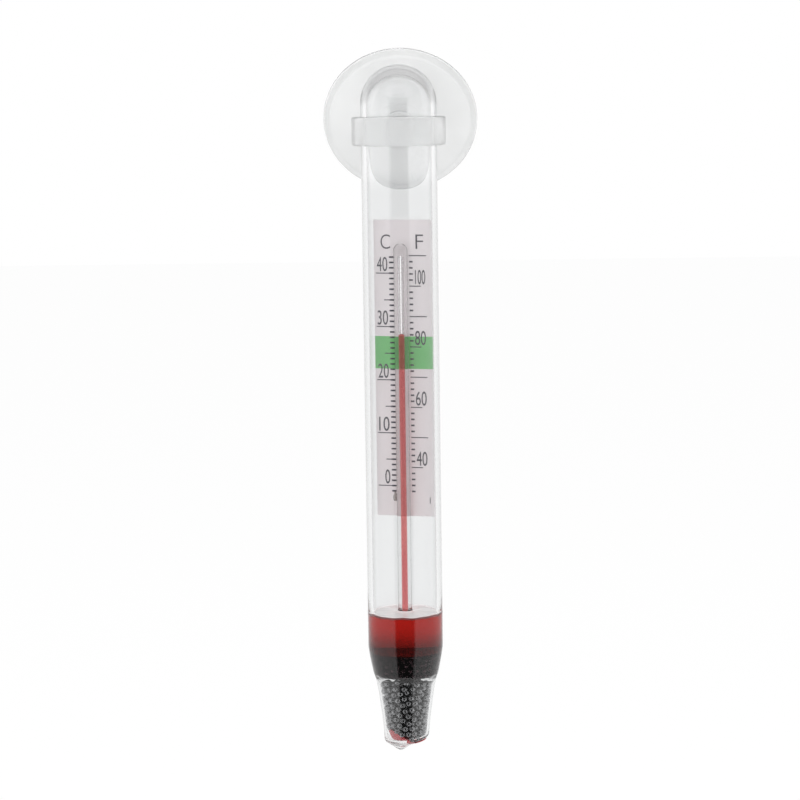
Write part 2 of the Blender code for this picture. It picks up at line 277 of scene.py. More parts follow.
class NodeTree:
    """Short calls for building a node tree. A Value is a plain value or an output to link.

    Args:
        tree: the tree that receives the nodes.
    """

    def __init__(self, tree: bpy.types.NodeTree) -> None:
        self.tree = tree

    def feed(self, target: bpy.types.NodeSocket, value: Value) -> None:
        """Set an input or link it.

        Args:
            target: the input.
            value: what it takes.
        """
        if isinstance(value, bpy.types.NodeSocket):
            self.tree.links.new(value, target)
        else:
            target.default_value = value

    def add(self, kind: str, *inputs: Value, **values: object) -> bpy.types.Node:
        """Add a node, then set its properties and inputs.

        Args:
            kind: the node's type.
            inputs: what its first inputs take.
            values: property names, or input names with spaces as underscores.

        Returns:
            The node.
        """
        node = self.tree.nodes.new(kind)
        for name, value in values.items():
            if hasattr(node, name):
                setattr(node, name, value)
            else:
                self.feed(node.inputs[name.replace("_", " ")], value)
        for target, value in zip(node.inputs, inputs):
            self.feed(target, value)
        return node

    def place(self, group: bpy.types.NodeTree, **values: Value) -> Sockets:
        """Place a group and return its outputs."""
        return self.add("ShaderNodeGroup", node_tree=group, **values).outputs

    def math(self, operation: str, *inputs: Value) -> bpy.types.NodeSocket:
        """Calculate a value, kept between 0 and 1."""
        return self.add("ShaderNodeMath", *inputs, operation=operation, use_clamp=True).outputs["Value"]

    def axis(self, space: str, name: str) -> bpy.types.NodeSocket:
        """One axis of the place in a texture space."""
        return self.add("ShaderNodeSeparateXYZ", self.outputs_of("TexCoord")[space]).outputs[name]

    def outputs_of(self, kind: str) -> Sockets:
        """Place a node without inputs and return its outputs."""
        return self.add("ShaderNode" + kind).outputs

    def ramp(self, value: Value, low: Value, high: Value, end: Value = 1.0) -> bpy.types.NodeSocket:
        """Ramp smoothly from 0 to an end value.

        Args:
            value: what is ramped.
            low: where the ramp starts.
            high: where it ends.
            end: the value there.

        Returns:
            The ramped value.
        """
        node = self.add("ShaderNodeMapRange", value, low, high, interpolation_type="SMOOTHSTEP")
        self.feed(node.inputs["To Max"], end)
        return node.outputs["Result"]

    def blend(self, share: Value, first: Value, second: Value) -> bpy.types.NodeSocket:
        """Mix two colours.

        Args:
            share: how much of the second is taken.
            first: the colour at 0.
            second: the colour at 1.

        Returns:
            The mixed colour.
        """
        mix = self.add("ShaderNodeMix", share, data_type="RGBA")
        tones = [socket for socket in mix.inputs if socket.type == "RGBA"]
        for target, tone in zip(tones, (first, second)):
            self.feed(target, tone)
        return next(socket for socket in mix.outputs if socket.type == "RGBA")

    def surface(self, share: Value, first: Value, second: Value) -> bpy.types.NodeSocket:
        """Mix two shaders."""
        return self.add("ShaderNodeMixShader", share, first, second).outputs["Shader"]

    def finish(self, shader: bpy.types.NodeSocket, kind: str = "Material") -> None:
        """Link a shader to a new output."""
        self.add("ShaderNodeOutput" + kind, Surface=shader)


def new_tree(owner: bpy.types.Material | bpy.types.World) -> NodeTree:
    """Give a material or a world an empty tree.

    Args:
        owner: the material or world.

    Returns:
        Its tree.
    """
    owner.use_nodes = True
    owner.node_tree.nodes.clear()
    return NodeTree(owner.node_tree)


def seen_rays(nodes: NodeTree) -> bpy.types.NodeSocket:
    """Mark the camera's rays and those that it sees by mirror or through glass.

    Args:
        nodes: the tree that receives the nodes.

    Returns:
        A value of 1 for those rays and 0 for scattered light.
    """
    path = nodes.outputs_of("LightPath")
    mirrored = nodes.math("MAXIMUM", path["Is Camera Ray"], path["Is Glossy Ray"])
    return nodes.math("MAXIMUM", mirrored, path["Is Transmission Ray"])


def new_group(name: str, inputs: str, outputs: str) -> tuple[NodeTree, Sockets, Sockets]:
    """Make a shader group that holds only its input and output nodes.

    Args:
        name: the group's name.
        inputs: the inputs' names; one named Color takes a colour, all others a value.
        outputs: the outputs' names.

    Returns:
        The group's tree, what it is given, and what it puts out.
    """
    group = bpy.data.node_groups.new(name, "ShaderNodeTree")
    for side, names in (("INPUT", inputs), ("OUTPUT", outputs)):
        for socket in names.split():
            kind = "NodeSocketColor" if socket == "Color" else "NodeSocketFloat"
            group.interface.new_socket(socket, in_out=side, socket_type=kind)
    nodes = NodeTree(group)
    return nodes, nodes.add("NodeGroupInput").outputs, nodes.add("NodeGroupOutput").inputs


@cache
def variation_group() -> bpy.types.NodeTree:
    """The shared group for slight unevenness: one noise, put out in a range and as a height.

    Returns:
        The group, made once.
    """
    nodes, given, result = new_group("surface_variation", "Scale Low High", "Value Height")
    place = nodes.outputs_of("TexCoord")["Object"]
    noise = nodes.add(
        "ShaderNodeTexNoise", Vector=place, Scale=given["Scale"], Detail=3.0, Roughness=0.55
    )
    spread = nodes.add(
        "ShaderNodeMapRange", noise.outputs["Fac"], 0.3, 0.7, given["Low"], given["High"]
    )
    nodes.feed(result["Value"], spread.outputs["Result"])
    nodes.feed(result["Height"], noise.outputs["Fac"])
    return nodes.tree


@cache
def depth_group() -> bpy.types.NodeTree:
    """The shared group for painted light and shade that change with height.

    Returns:
        The group, made once.
    """
    nodes, given, result = new_group("painted_shade_by_height", "Low High", "Share")
    share = nodes.ramp(nodes.axis("Object", "Z"), given["Low"], given["High"])
    nodes.feed(result["Share"], share)
    return nodes.tree


@cache
def edge_group() -> bpy.types.NodeTree:
    """The shared group that paints shade into a colour where the surface turns away.

    Returns:
        The group, made once.
    """
    nodes, given, result = new_group("painted_edge_shade", "Color Facing Amount", "Color")
    rim = nodes.ramp(given["Facing"], 0.45, 0.98, given["Amount"])
    nodes.feed(result["Color"], nodes.blend(rim, given["Color"], (0, 0, 0, 1)))
    return nodes.tree


@dataclass(frozen=True)
class Finish:
    """A Principled finish with slight variation in tone and roughness.

    Args:
        name: the material's name.
        color: the base colour.
        second_color: the colour that the variation runs to.
        roughness: the least and the most roughness.
        scale: how many patches of variation lie along a metre.
        metallic: 0 or 1.
        transmission: how much light passes.
        ior: the index of refraction.
        bump: the height of the surface's unevenness in millimetres.
        shadow: the colour of the light that passes to a shadow, or None for an opaque piece.
        alpha: the share of the surface that covers what lies behind it.
        gloss: how much of the plain mirror reflection is kept.
        deepening: the heights in metres between which the first colour turns to the second, as painted light
            and shade.
        glow: how much painted light it gives off itself; no piece with a glow is a lamp.
        edge: how much painted shade darkens the colour where the surface turns away from the eye.
    """

    name: str
    color: Color
    second_color: Color
    roughness: tuple[float, float]
    scale: float = 300.0
    metallic: float = 0.0
    transmission: float = 0.0
    ior: float = 1.5
    bump: float = 0.0
    shadow: Color | None = None
    alpha: float = 1.0
    gloss: float = 1.0
    deepening: tuple[float, float] | None = None
    glow: float = 0.0
    edge: float = 0.0

    def material(self) -> bpy.types.Material:
        """Build the material, or return the one built before.

        Returns:
            The material.
        """
        if self.name in bpy.data.materials:
            return bpy.data.materials[self.name]
        made = bpy.data.materials.new(self.name)
        nodes = new_tree(made)
        least, most = self.roughness
        matt = nodes.place(variation_group(), Scale=self.scale * 1.7, Low=least, High=most)
        shader = nodes.add(
            "ShaderNodeBsdfPrincipled", Base_Color=self._tone(nodes), Roughness=matt["Value"],
            Metallic=self.metallic, Transmission_Weight=self.transmission, IOR=self.ior,
            Alpha=self.alpha, Specular_Tint=(*(self.gloss,) * 3, 1),
            Emission_Color=(*self.color, 1), Emission_Strength=self.glow,
        )
        if self.bump:
            waves = nodes.place(variation_group(), Scale=self.scale)["Height"]
            bump = nodes.add("ShaderNodeBump", Distance=self.bump * MM, Height=waves)
            nodes.feed(shader.inputs["Normal"], bump.outputs["Normal"])
        surface = shader.outputs["BSDF"]
        if self.shadow:
            clear = nodes.add("ShaderNodeBsdfTransparent", (*self.shadow, 1)).outputs["BSDF"]
            surface = nodes.surface(nodes.outputs_of("LightPath")["Is Shadow Ray"], surface, clear)
        nodes.finish(surface)
        return made

    def _tone(self, nodes: NodeTree) -> bpy.types.NodeSocket:
        """Build the base colour.

        Args:
            nodes: the material's tree.

        Returns:
            The colour.
        """
        # painted light and shade: the tone changes with height
        if self.deepening:
            low, high = self.deepening
            share = nodes.place(depth_group(), Low=low, High=high)["Share"]
        else:
            share = nodes.place(variation_group(), Scale=self.scale, Low=0.0, High=1.0)["Value"]
        tone = nodes.blend(share, (*self.color, 1), (*self.second_color, 1))
        # painted shade: the colour darkens toward the outline
        if self.edge:
            facing = nodes.add("ShaderNodeLayerWeight", Blend=0.5).outputs["Facing"]
            tone = nodes.place(edge_group(), Color=tone, Facing=facing, Amount=self.edge)["Color"]
        return tone


# edge: painted shade that darkens the glass toward its outline
GLASS = Finish(
    "fused_glass", (0.905, 0.91, 0.912), (0.985, 0.988, 0.99), (0.0, 0.02),
    scale=120, transmission=1.0, shadow=(0.9, 0.9, 0.9), edge=0.6,
)
WET_GLASS = Finish(
    "wetted_glass", (0.95, 0.95, 0.95), (0.94, 0.94, 0.94), (0.0, 0.02),
    scale=120, transmission=1.0, shadow=(0.9, 0.9, 0.9), gloss=0.0,
)
# Milky glass at the stem's seam and at the bottom; its glow is painted light that lightens it.
MILKY_GLASS_PAINTED_GLOW = Finish(
    "milky_glass_painted_glow", (0.99, 0.95, 0.95), (0.97, 0.92, 0.92), (0.05, 0.2),
    scale=500, transmission=0.25, shadow=(0.9, 0.9, 0.9), bump=0.03, glow=0.18,
)
TOE_GLASS = Finish(
    "drawn_glass", (0.93, 0.93, 0.93), (0.9, 0.9, 0.9), (0.16, 0.3),
    scale=400, transmission=1.0, shadow=(0.9, 0.9, 0.9),
)
# edge: painted shade that darkens the stem toward its outline
STEM_GLASS = Finish(
    "stem_glass", (0.975, 0.972, 0.972), (0.965, 0.962, 0.962), (0.0, 0.02),
    scale=120, transmission=1.0, shadow=(0.9, 0.9, 0.9), edge=0.5,
)
# Painted highlight: a glowing white strip along the back of the dry bore, above the reading.
BORE_HIGHLIGHT = Finish(
    "bore_painted_highlight", (0.95, 0.94, 0.94), (0.9, 0.89, 0.89), (0.2, 0.3), scale=300,
    shadow=(0.9, 0.9, 0.9), glow=1.1,
)
# edge: painted shade that darkens the moulding toward its outline
PVC = Finish(
    "moulded_pvc", (0.9, 0.905, 0.905), (0.82, 0.825, 0.825), (0.08, 0.2),
    scale=90, transmission=0.74, bump=0.02, shadow=(0.85, 0.85, 0.85), edge=0.45,
)
SPIRIT = Finish(
    "spirit_fill", (0.07, 0.003, 0.002), (0.41, 0.01, 0.006), (0.0, 0.01),
    scale=60, transmission=1.0, ior=1.37, shadow=(0.6, 0.1, 0.1), gloss=0.0,
)
THREAD = Finish(
    "spirit_thread", (0.98, 0.36, 0.35), (0.94, 0.28, 0.29), (0.0, 0.01),
    scale=60, transmission=0.75, ior=1.37, shadow=(0.8, 0.3, 0.3), gloss=0.0,
)
STEEL = Finish(
    "pellet_steel", (0.27, 0.27, 0.275), (0.2, 0.2, 0.205), (0.14, 0.24), scale=900, metallic=1.0,
)
BONDING = Finish(
    "dark_bonding", (0.2, 0.12, 0.135), (0.12, 0.07, 0.08), (0.02, 0.08),
    scale=500, transmission=1.0, ior=1.45, shadow=(0.3, 0.2, 0.2), gloss=0.0,
)
WAX = Finish(
    "red_wax", (0.42, 0.03, 0.04), (0.62, 0.14, 0.15), (0.35, 0.55), scale=700, bump=0.06,
)
FILM = Finish(
    "film_sheet", (0.99, 0.93, 0.945), (0.97, 0.905, 0.925), (0.35, 0.5), scale=40, alpha=0.85,
    shadow=(0.6, 0.56, 0.57),
)
BAND = Finish(
    "green_band", (0.19, 0.6, 0.2), (0.17, 0.56, 0.18), (0.35, 0.5), scale=400,
)
INK = Finish("scale_ink", (0.05, 0.045, 0.06), (0.09, 0.08, 0.1), (0.4, 0.6), scale=1500)
GLUE = Finish(
    "glue_drop", (0.6, 0.58, 0.56), (0.5, 0.48, 0.46), (0.1, 0.3), scale=900, transmission=0.6,
    shadow=(0.8, 0.8, 0.8),
)


# ---------------------------------------------------------------- glass


@dataclass
class GlassBody:
    """The fused glass: envelope, stem, reservoir and ballast tube, with the hollows inside.

    All sizes are in millimetres in the tube's frame. A pair is a radius and a height,
    unless a comment says otherwise.
    """

    tube: TubeFrame
    segments: int = 128
    # envelope
    wall: float = 0.85
    dome_wall: float = 1.35
    wall_rings: tuple[float, ...] = (90.0, 75.0, 60.0, 45.0, 30.0)  # from the dome down
    room_rings: tuple[float, ...] = (26.0, 40.0, 55.0, 70.0, 90.0)
    clear_dome: tuple[float, float] = (90.0, 94.0)  # heights between which the glass is painted lighter toward the dome, as painted light
    # seam
    seam_z: float = 22.5
    seam_reach: tuple[float, float] = (0.8, 1.2)  # half heights of the finer rings
    base_thickness: float = 0.26
    base_corner: float = 0.16
    bead: tuple[float, float] = (0.035, 0.4)  # height and half width
    ripple_reach: float = 0.9
    ripples: tuple[tuple[float, int, float], ...] = ((0.05, 7, 0.8), (0.04, 12, 2.1))  # height, count, phase
    # reservoir
    shoulder_z: float = 17.2
    ledge_z: float = 12.5
    ledge_r: float = 5.15
    taper_power: float = 1.25
    floor_low: float = 16.15
    floor_high: float = 16.35
    wet_corner: float = 0.12
    floor_ring: float = 2.0  # the radius of a ring on the floor
    bonding_low: float = 12.6
    inner_toe: float = 0.25  # how far the inner toe lies above the outer
    # ballast tube
    ballast_top_r: float = 4.97
    ballast_drop: float = 0.3
    knee: tuple[float, float] = (4.3, 8.5)
    toe: tuple[float, float] = (3.6, 2.3)
    bow: float = 0.06
    end_z: float = 0.95
    end_wall: float = 0.4
    ledge_blend: tuple[float, float] = (0.6, 0.5)  # how far it runs below and above the ledge
    slant: float = 0.12
    slant_blend: tuple[float, float] = (0.4, 2.2)  # how far it runs below and above the toe
    skin_blend: tuple[float, float] = (0.3, 0.75)  # above the end, where the pip's pull fades
    pip_x: float = -0.95
    pip_drop: float = 0.95
    pip_width: float = 0.95
    toe_glass: float = 1.9
    # the milky patch at the bottom, which also takes the painted glow
    milky_z: float = 2.2
    milky_x: float = 0.5
    milky_base: float = 0.3
    # stem
    stem_r: float = 1.1
    stem_top: float = 81.9
    stem_foot: float = 0.6
    stem_margin: float = 0.3
    stem_rings: tuple[float, ...] = (70.0, 55.0, 40.0, 28.0)
    bore_r: float = 0.31
    bore_foot: float = 0.3
    bore_top: float = 80.0
    bore_rings: tuple[float, ...] = (25.0, 40.0, 55.0)
    bore_dry_ring: float = 74.0
    reading_z: float = 67.58
    # half width of the painted highlight strip on the back of the dry bore
    shine: float = 0.07

    @property
    def inner_r(self) -> float:
        """The envelope's inner radius."""
        return self.tube.radius - self.wall

    @property
    def base_low(self) -> float:
        """The underside of the stem's base."""
        return self.seam_z - self.base_thickness / 2

    @property
    def base_high(self) -> float:
        """The top of the stem's base."""
        return self.seam_z + self.base_thickness / 2

    @property
    def ballast_top_z(self) -> float:
        """Where the ballast tube starts, below the ledge."""
        return self.ledge_z - self.ballast_drop

    def shell_r(self, z: float) -> float:
        """The reservoir's outer radius at a height."""
        drawn_in = max(0.0, (self.shoulder_z - z) / (self.shoulder_z - self.ledge_z))
        return self.tube.radius - (self.tube.radius - self.ledge_r) * drawn_in**self.taper_power

    def ballast_r(self, z: float) -> float:
        """The ballast tube's outer radius above its toe.

        Args:
            z: the height.

        Returns:
            The radius there.
        """
        top = (self.ballast_top_r, self.ballast_top_z)
        upper, lower = (top, self.knee) if z > self.knee[1] else (self.knee, self.toe)
        share = (z - lower[1]) / (upper[1] - lower[1])
        bow = self.bow * math.sin(math.pi * min(1.0, max(0.0, share)))
        return lower[0] + (upper[0] - lower[0]) * share - bow

    def inside_r(self, z: float) -> float:
        """The inner radius of the chamber at a height.

        Args:
            z: the height.

        Returns:
            The radius there.
        """
        below, above = self.ledge_blend
        shell = self.shell_r(z) - self.wall
        ballast = self.ballast_r(min(z, self.ballast_top_z)) - self.end_wall
        return ballast + (shell - ballast) * smoothstep(self.ledge_z - below, self.ledge_z + above, z)

    def warp(self, x: float, y: float, z: float) -> tuple[float, float, float]:
        """Slant the bottom, draw out the pip, and ripple the seam.

        Args:
            x: the place across.
            y: the place in depth.
            z: the height.

        Returns:
            The moved point.
        """
        r2 = (x - self.pip_x) ** 2 + y**2
        below, above = self.slant_blend
        low = 1 - smoothstep(self.toe[1] - below, self.toe[1] + above, z)
        drop = self.pip_drop * math.exp(-r2 / (2 * self.pip_width**2))
        skin = 1 - smoothstep(self.end_z + self.skin_blend[0], self.end_z + self.skin_blend[1], z)
        near_seam = math.exp(-(((z - self.seam_z) / self.ripple_reach) ** 2))
        a = math.atan2(y, x)
        ripple = sum(height * math.sin(count * a + phase) for height, count, phase in self.ripples)
        z += near_seam * ripple * min(1.0, math.hypot(x, y) / self.inner_r) ** 3
        return (x, y, z + low * self.slant * x - skin * low * drop)

    def outer_skin(self) -> Profile:
        """The outside, from the dome's top to the bottom's middle.

        Returns:
            The profile.
        """
        radius, top = self.tube.radius, self.tube.length
        near, far = self.seam_reach
        profile = arc(0, top - radius, radius, 90, 0, 24)
        profile[0] = (0.0, top)
        profile += [(radius, z) for z in (*self.wall_rings, self.seam_z + far)]
        for z in evenly(self.seam_z + near, self.seam_z - near, 8):
            profile.append((radius + self.bead[0] * math.exp(-(((z - self.seam_z) / self.bead[1]) ** 2)), z))
        profile += [(self.shell_r(z), z) for z in evenly(20.0, self.ledge_z + 0.2, 16)]
        profile += [(self.ballast_r(z), z) for z in evenly(self.ledge_z - 0.5, self.toe[1], 22)]
        depth = self.toe[1] - self.end_z
        profile += [(self.toe[0] * r, self.toe[1] + depth * z) for r, z in arc(0, 0, 1, -8, -90, 14)]
        profile[-1] = (0.0, self.end_z)
        return profile

    def upper_hollow(self) -> Profile:
        """The room over the scale: up the stem's outside, then down to its base and up the wall.

        Returns:
            The profile.
        """
        foot, corner = self.stem_foot, self.base_corner
        profile = arc(0, self.stem_top - self.stem_r, self.stem_r, 90, 0, 8)
        profile[0] = (0.0, self.stem_top)
        profile += [(self.stem_r, z) for z in self.stem_rings]
        profile += arc(self.stem_r + foot, self.base_high + foot, foot, 180, 270, 8)
        profile += arc(self.inner_r - corner, self.base_high + corner, corner, -90, 0, 8)
        profile += [(self.inner_r, z) for z in self.room_rings]
        top = self.tube.length - self.dome_wall
        profile += arc(0, top - self.inner_r, self.inner_r, 0, 90, 24)
        profile[-1] = (0.0, top)
        return profile

    def wet_hollow(self, grow: float = 0.0) -> Profile:
        """The reservoir, from the floor's middle to the foot of the bore.

        Args:
            grow: how much wider than the glass the hollow is made.

        Returns:
            The profile.
        """
        corner, floor, top = self.wet_corner, self.floor_high, self.base_low
        wall_r = self.shell_r(floor) - self.wall + grow
        profile = [(0.0, floor - grow), (self.floor_ring, floor - grow)]
        profile += arc(wall_r - corner, floor + corner, corner + grow, -90, 0, 6)
        for z in evenly(floor + corner + 0.2, self.shoulder_z + 0.4, 4):
            profile.append((self.shell_r(z) - self.wall + grow, z))
        profile += arc(self.inner_r - corner, top - corner, corner + grow, 0, 90, 6)
        return profile

    def bore(self) -> Profile:
        """The bore, from the reservoir's ceiling up to its closed end.

        Returns:
            The profile.
        """
        foot = self.bore_foot
        profile = arc(self.bore_r + foot, self.base_low + foot, foot, 270, 180, 4)
        profile += [(self.bore_r, z) for z in (*self.bore_rings, self.reading_z, self.bore_dry_ring)]
        profile += arc(0, self.bore_top - self.bore_r, self.bore_r, 0, 90, 6)
        profile[-1] = (0.0, self.bore_top)
        return profile

    def dry_hollow(self, grow: float = 0.0) -> Profile:
        """The ballast's room, from the bottom's middle up to the floor's underside.

        Args:
            grow: how much wider than the glass the hollow is made.

        Returns:
            The profile.
        """
        corner = self.wet_corner
        toe_z = self.toe[1] + self.inner_toe
        bottom = self.end_z + self.end_wall - grow
        toe_r = self.inside_r(toe_z) + grow
        profile = [(toe_r * r, toe_z + (toe_z - bottom) * z) for r, z in arc(0, 0, 1, -90, 0, 10)]
        profile[0] = (0.0, bottom)
        for z in evenly(toe_z + 0.5, self.floor_low - 0.4, 26):
            profile.append((self.inside_r(z) + grow, z))
        top_r = self.inside_r(self.floor_low)
        profile += arc(top_r - corner, self.floor_low - corner, corner + grow, 0, 90, 4)
        profile.append((0.0, self.floor_low + grow))
        return profile

    def build(self) -> None:
        """Build the glass, and dress its skins in six finishes."""
        shape = bmesh.new()
        wet = self.wet_hollow() + self.bore()
        skin, room, reservoir, ballast = (
            lathe(shape, profile, self.segments, self.warp)
            for profile in (self.outer_skin(), self.upper_hollow(), wet, self.dry_hollow())
        )
        low, high = (self.tube.at(0, 0, z).z for z in self.clear_dome)
        # the glass is painted lighter toward the dome: painted light
        clear = replace(GLASS, deepening=(low, high))
        finishes = (clear, WET_GLASS, BORE_HIGHLIGHT, MILKY_GLASS_PAINTED_GLOW, TOE_GLASS, STEM_GLASS)
        _, wetted, line, milky_glow, drawn, stem = range(len(finishes))
        choices = (
            (skin, drawn, lambda x, y, z: z < self.toe_glass),
            (room, stem, lambda x, y, z: math.hypot(x, y) < self.stem_r + self.stem_margin),
            (room, milky_glow, lambda x, y, z: z < self.base_high + self.milky_base),
            # the back of the dry bore gets the painted highlight
            (reservoir, line, lambda x, y, z: y > 0 and abs(x) < self.shine),
            (reservoir, wetted, lambda x, y, z: z < self.reading_z),
            (ballast, milky_glow, lambda x, y, z: z < self.milky_z and x > self.milky_x),
            (ballast, wetted, lambda x, y, z: z > self.bonding_low),
        )
        for faces, index, chosen in choices:
            for face in faces:
                if chosen(*face.calc_center_median()):
                    face.material_index = index
        piece = mesh_object("glass_body", shape, self.tube.matrix())
        nodes = ("envelope_tube", "capillary_stem", "reservoir_shell", "reservoir_floor", "ballast_tube")
        dress(piece, finishes[0].material(), Slot.GLASS, Body.TUBE, *nodes)
        for finish in finishes[1:]:
            piece.data.materials.append(finish.material())


# ---------------------------------------------------------------- liquid


@dataclass
class Spirit:
    """The red liquid: in the reservoir, and in the bore up to the reading.

    Each surface reaches a little into the glass, so that light passes from glass
    to liquid without an air film between them.
    """

    glass: GlassBody
    overlap: float = 0.012
    head: float = 1.5
    head_squash: float = 0.5
    foot_drop: float = 0.05
    # the liquid is painted darker toward the reservoir's floor: painted shade
    deepening: tuple[float, float] = (16.0, 20.5)
    segments: int = 96
    thread_segments: int = 32
    thread_rings: int = 64

    def build_reservoir(self) -> None:
        """Build the liquid in the reservoir."""
        wall = self.glass.wet_hollow(self.overlap)
        profile = [(0.0, self.glass.base_low + self.overlap)] + wall[::-1]
        shape = bmesh.new()
        lathe(shape, profile, self.segments, self.glass.warp)
        piece = mesh_object("reservoir_liquid_fill", shape, self.glass.tube.matrix())
        low, high = (self.glass.tube.at(0, 0, z).z for z in self.deepening)
        finish = replace(SPIRIT, deepening=(low, high))
        dress(piece, finish.material(), Slot.SPIRIT, Body.TUBE, "reservoir_liquid")

    def build_thread(self) -> None:
        """Build the thread in the bore, from below the base up to its head."""
        r = self.glass.bore_r + self.overlap
        low, high = self.glass.base_low - self.foot_drop, self.glass.reading_z
        centre = high - self.head_squash * r
        profile = [(x, centre + z * self.head_squash) for x, z in arc(0, 0, r, 90, 0, 5)]
        profile[0] = (0.0, high)
        profile += [(r, z) for z in evenly(high - self.head, low, self.thread_rings)]
        profile.append((0.0, low))
        shape = bmesh.new()
        lathe(shape, profile, self.thread_segments)
        piece = mesh_object("liquid_thread", shape, self.glass.tube.matrix(), sharp=60)
        dress(piece, THREAD.material(), Slot.SPIRIT, None, "liquid_column", "meniscus")
        tuple(self.glass.tube.at(0, 0, self.glass.base_high))
        tuple(self.glass.tube.at(0, 0, high - self.head))
        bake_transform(piece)

    def build(self) -> None:
        """Build all the liquid."""
        self.build_reservoir()
        self.build_thread()


# ---------------------------------------------------------------- ballast


@dataclass
class Ballast:
    """The pellets, their bonding and the sealing wax."""

    glass: GlassBody
    overlap: float = 0.012
    # pellets
    pellet_r: float = 0.54
    shown_share: float = 0.985  # of a pellet's radius, so that neighbours don't merge
    fine_depth: float = 3.2  # in pellet radii from the glass
    loose_low: float = 1.65
    loose_gap: float = 0.02
    bonding_drop: float = 0.1
    floor_gap: float = 0.03
    # packing
    seed: int = 11
    fill: float = 0.64
    levels: int = 40
    first_spread: float = 0.7
    rounds: int = 220
    push: float = 0.36
    sink: float = 0.01
    # wax
    wax_top: float = 2.4
    wax_slant: float = 0.6
    wax_gap: float = 0.02
    wax_depth: float = 0.12
    wax_lumps: tuple[float, float] = (0.16, 0.1)
    wax_cover: float = 0.1

    def settle_pellets(self, low: float, high: float, seed: int) -> np.ndarray:
        """Pack pellets between two heights by pushing overlapping ones apart.

        Args:
            low: the lowest point of the room.
            high: the highest point.
            seed: seeds the starting places.

        Returns:
            One centre per row.
        """
        levels = np.array(evenly(low, high, self.levels))
        radii = np.array([self.glass.inside_r(z) for z in levels])
        volume = math.pi * float(np.mean(radii**2)) * (high - low)
        count = int(volume * self.fill / (4 / 3 * math.pi * self.pellet_r**3))
        random = np.random.default_rng(seed)
        spots = random.uniform(-1, 1, (count, 3))
        spots[:, :2] *= radii.min() * self.first_spread
        spots[:, 2] = low + (high - low) * (spots[:, 2] + 1) / 2
        reach = 2 * self.pellet_r
        for step in range(self.rounds):
            gap = spots[:, None] - spots[None]
            far = np.linalg.norm(gap, axis=2) + np.eye(count) * 9  # a pellet is far from itself
            push = np.clip(reach - far, 0, None) / np.maximum(far, 1e-6)
            spots += (gap * push[..., None]).sum(axis=1) * self.push
            if step < self.rounds // 2:
                spots[:, 2] -= self.sink
            room = np.interp(spots[:, 2], levels, radii) - self.pellet_r
            out = np.linalg.norm(spots[:, :2], axis=1)
            spots[:, :2] *= np.minimum(1.0, room / np.maximum(out, 1e-6))[:, None]
            spots[:, 2] = np.clip(spots[:, 2], low + self.pellet_r, high - self.pellet_r)
        return spots

    def add_pellets(self, name: str, spots: np.ndarray, *nodes: str) -> None:
        """Build one piece of pellets, finer near the glass than in the middle.

        Args:
            name: the piece's name.
            spots: the centres.
            nodes: the CAD nodes that it stands for.
        """
        shape = bmesh.new()
        for spot in spots:
            x, y, z = self.glass.warp(*spot)
            outer = math.hypot(x, y) > self.glass.inside_r(z) - self.fine_depth * self.pellet_r
            place = Matrix.Translation((x, y, z))
            radius = self.pellet_r * self.shown_share
            bmesh.ops.create_icosphere(shape, subdivisions=3 if outer else 2, radius=radius, matrix=place)
        piece = mesh_object(name, shape, self.glass.tube.matrix())
        dress(piece, STEEL.material(), Slot.SHOT, Body.TUBE, *nodes)

    def wax_level(self, x: float) -> float:
        """The height of the wax's surface, which slopes up to the left."""
        return self.wax_top - self.wax_slant * x

    def build_shot(self) -> None:
        """Build the bonded and the loose pellets."""
        low = self.glass.bonding_low - self.bonding_drop
        high = self.glass.floor_low - self.floor_gap
        bonded = self.settle_pellets(low, high, self.seed)
        self.add_pellets("bonded_pellets", bonded, "bonded_shot")
        loose = self.settle_pellets(self.loose_low, low - self.loose_gap, self.seed + 1)
        above = [spot for spot in loose if spot[2] > self.wax_level(spot[0]) - self.wax_cover]
        nodes = ("loose_shot_1", "loose_shot_2", "loose_shot_3")
        self.add_pellets("loose_pellets", np.array(above), *nodes)

    def build_bonding(self) -> None:
        """Build the dark bonding that wets the upper pellets and the glass."""
        low = self.glass.bonding_low
        wall = [(r, z) for r, z in self.glass.dry_hollow(self.overlap)[::-1] if z > low]
        profile = wall + [(wall[-1][0], low), (0.0, low - self.bonding_drop)]
        shape = bmesh.new()
        lathe(shape, profile, self.glass.segments, self.glass.warp)
        piece = mesh_object("shot_bonding", shape, self.glass.tube.matrix(), sharp=50)
        dress(piece, BONDING.material(), Slot.WAX, Body.TUBE)

    def build_wax(self) -> None:
        """Build the wax at the bottom, with a lumpy sloping top."""

        def lump(x: float, y: float, z: float) -> tuple[float, float, float]:
            """Follow the bottom of the glass below, and the sloping surface above.

            Args:
                x: the place across.
                y: the place in depth.
                z: the height.

            Returns:
                The moved point.
            """
            broad, fine = self.wax_lumps
            wave = broad * math.sin(3.1 * x + 1.0) * math.cos(2.7 * y) + fine * math.sin(5.3 * y + x)
            level = self.wax_level(x) + wave
            floor_z = self.glass.end_z + self.glass.end_wall
            share = smoothstep(floor_z, self.wax_top, z)
            rise = max(floor_z + self.wax_depth - z, level - self.wax_top)
            return self.glass.warp(x, y, z + share * rise)

        room = [(r, z) for r, z in self.glass.dry_hollow(-self.wax_gap) if z < self.wax_top]
        top = [(room[-1][0] * t, self.wax_top) for t in evenly(0, 1, 10)[:-1]]
        shape = bmesh.new()
        lathe(shape, top + [(room[-1][0], self.wax_top)] + room[::-1], 72, lump)
        piece = mesh_object("sealing_wax_plug", shape, self.glass.tube.matrix())
        dress(piece, WAX.material(), Slot.WAX, Body.TUBE, "sealing_wax")

    def build(self) -> None:
        """Build everything below the reservoir's floor."""
        self.build_shot()
        self.build_bonding()
        self.build_wax()


# ---------------------------------------------------------------- scale


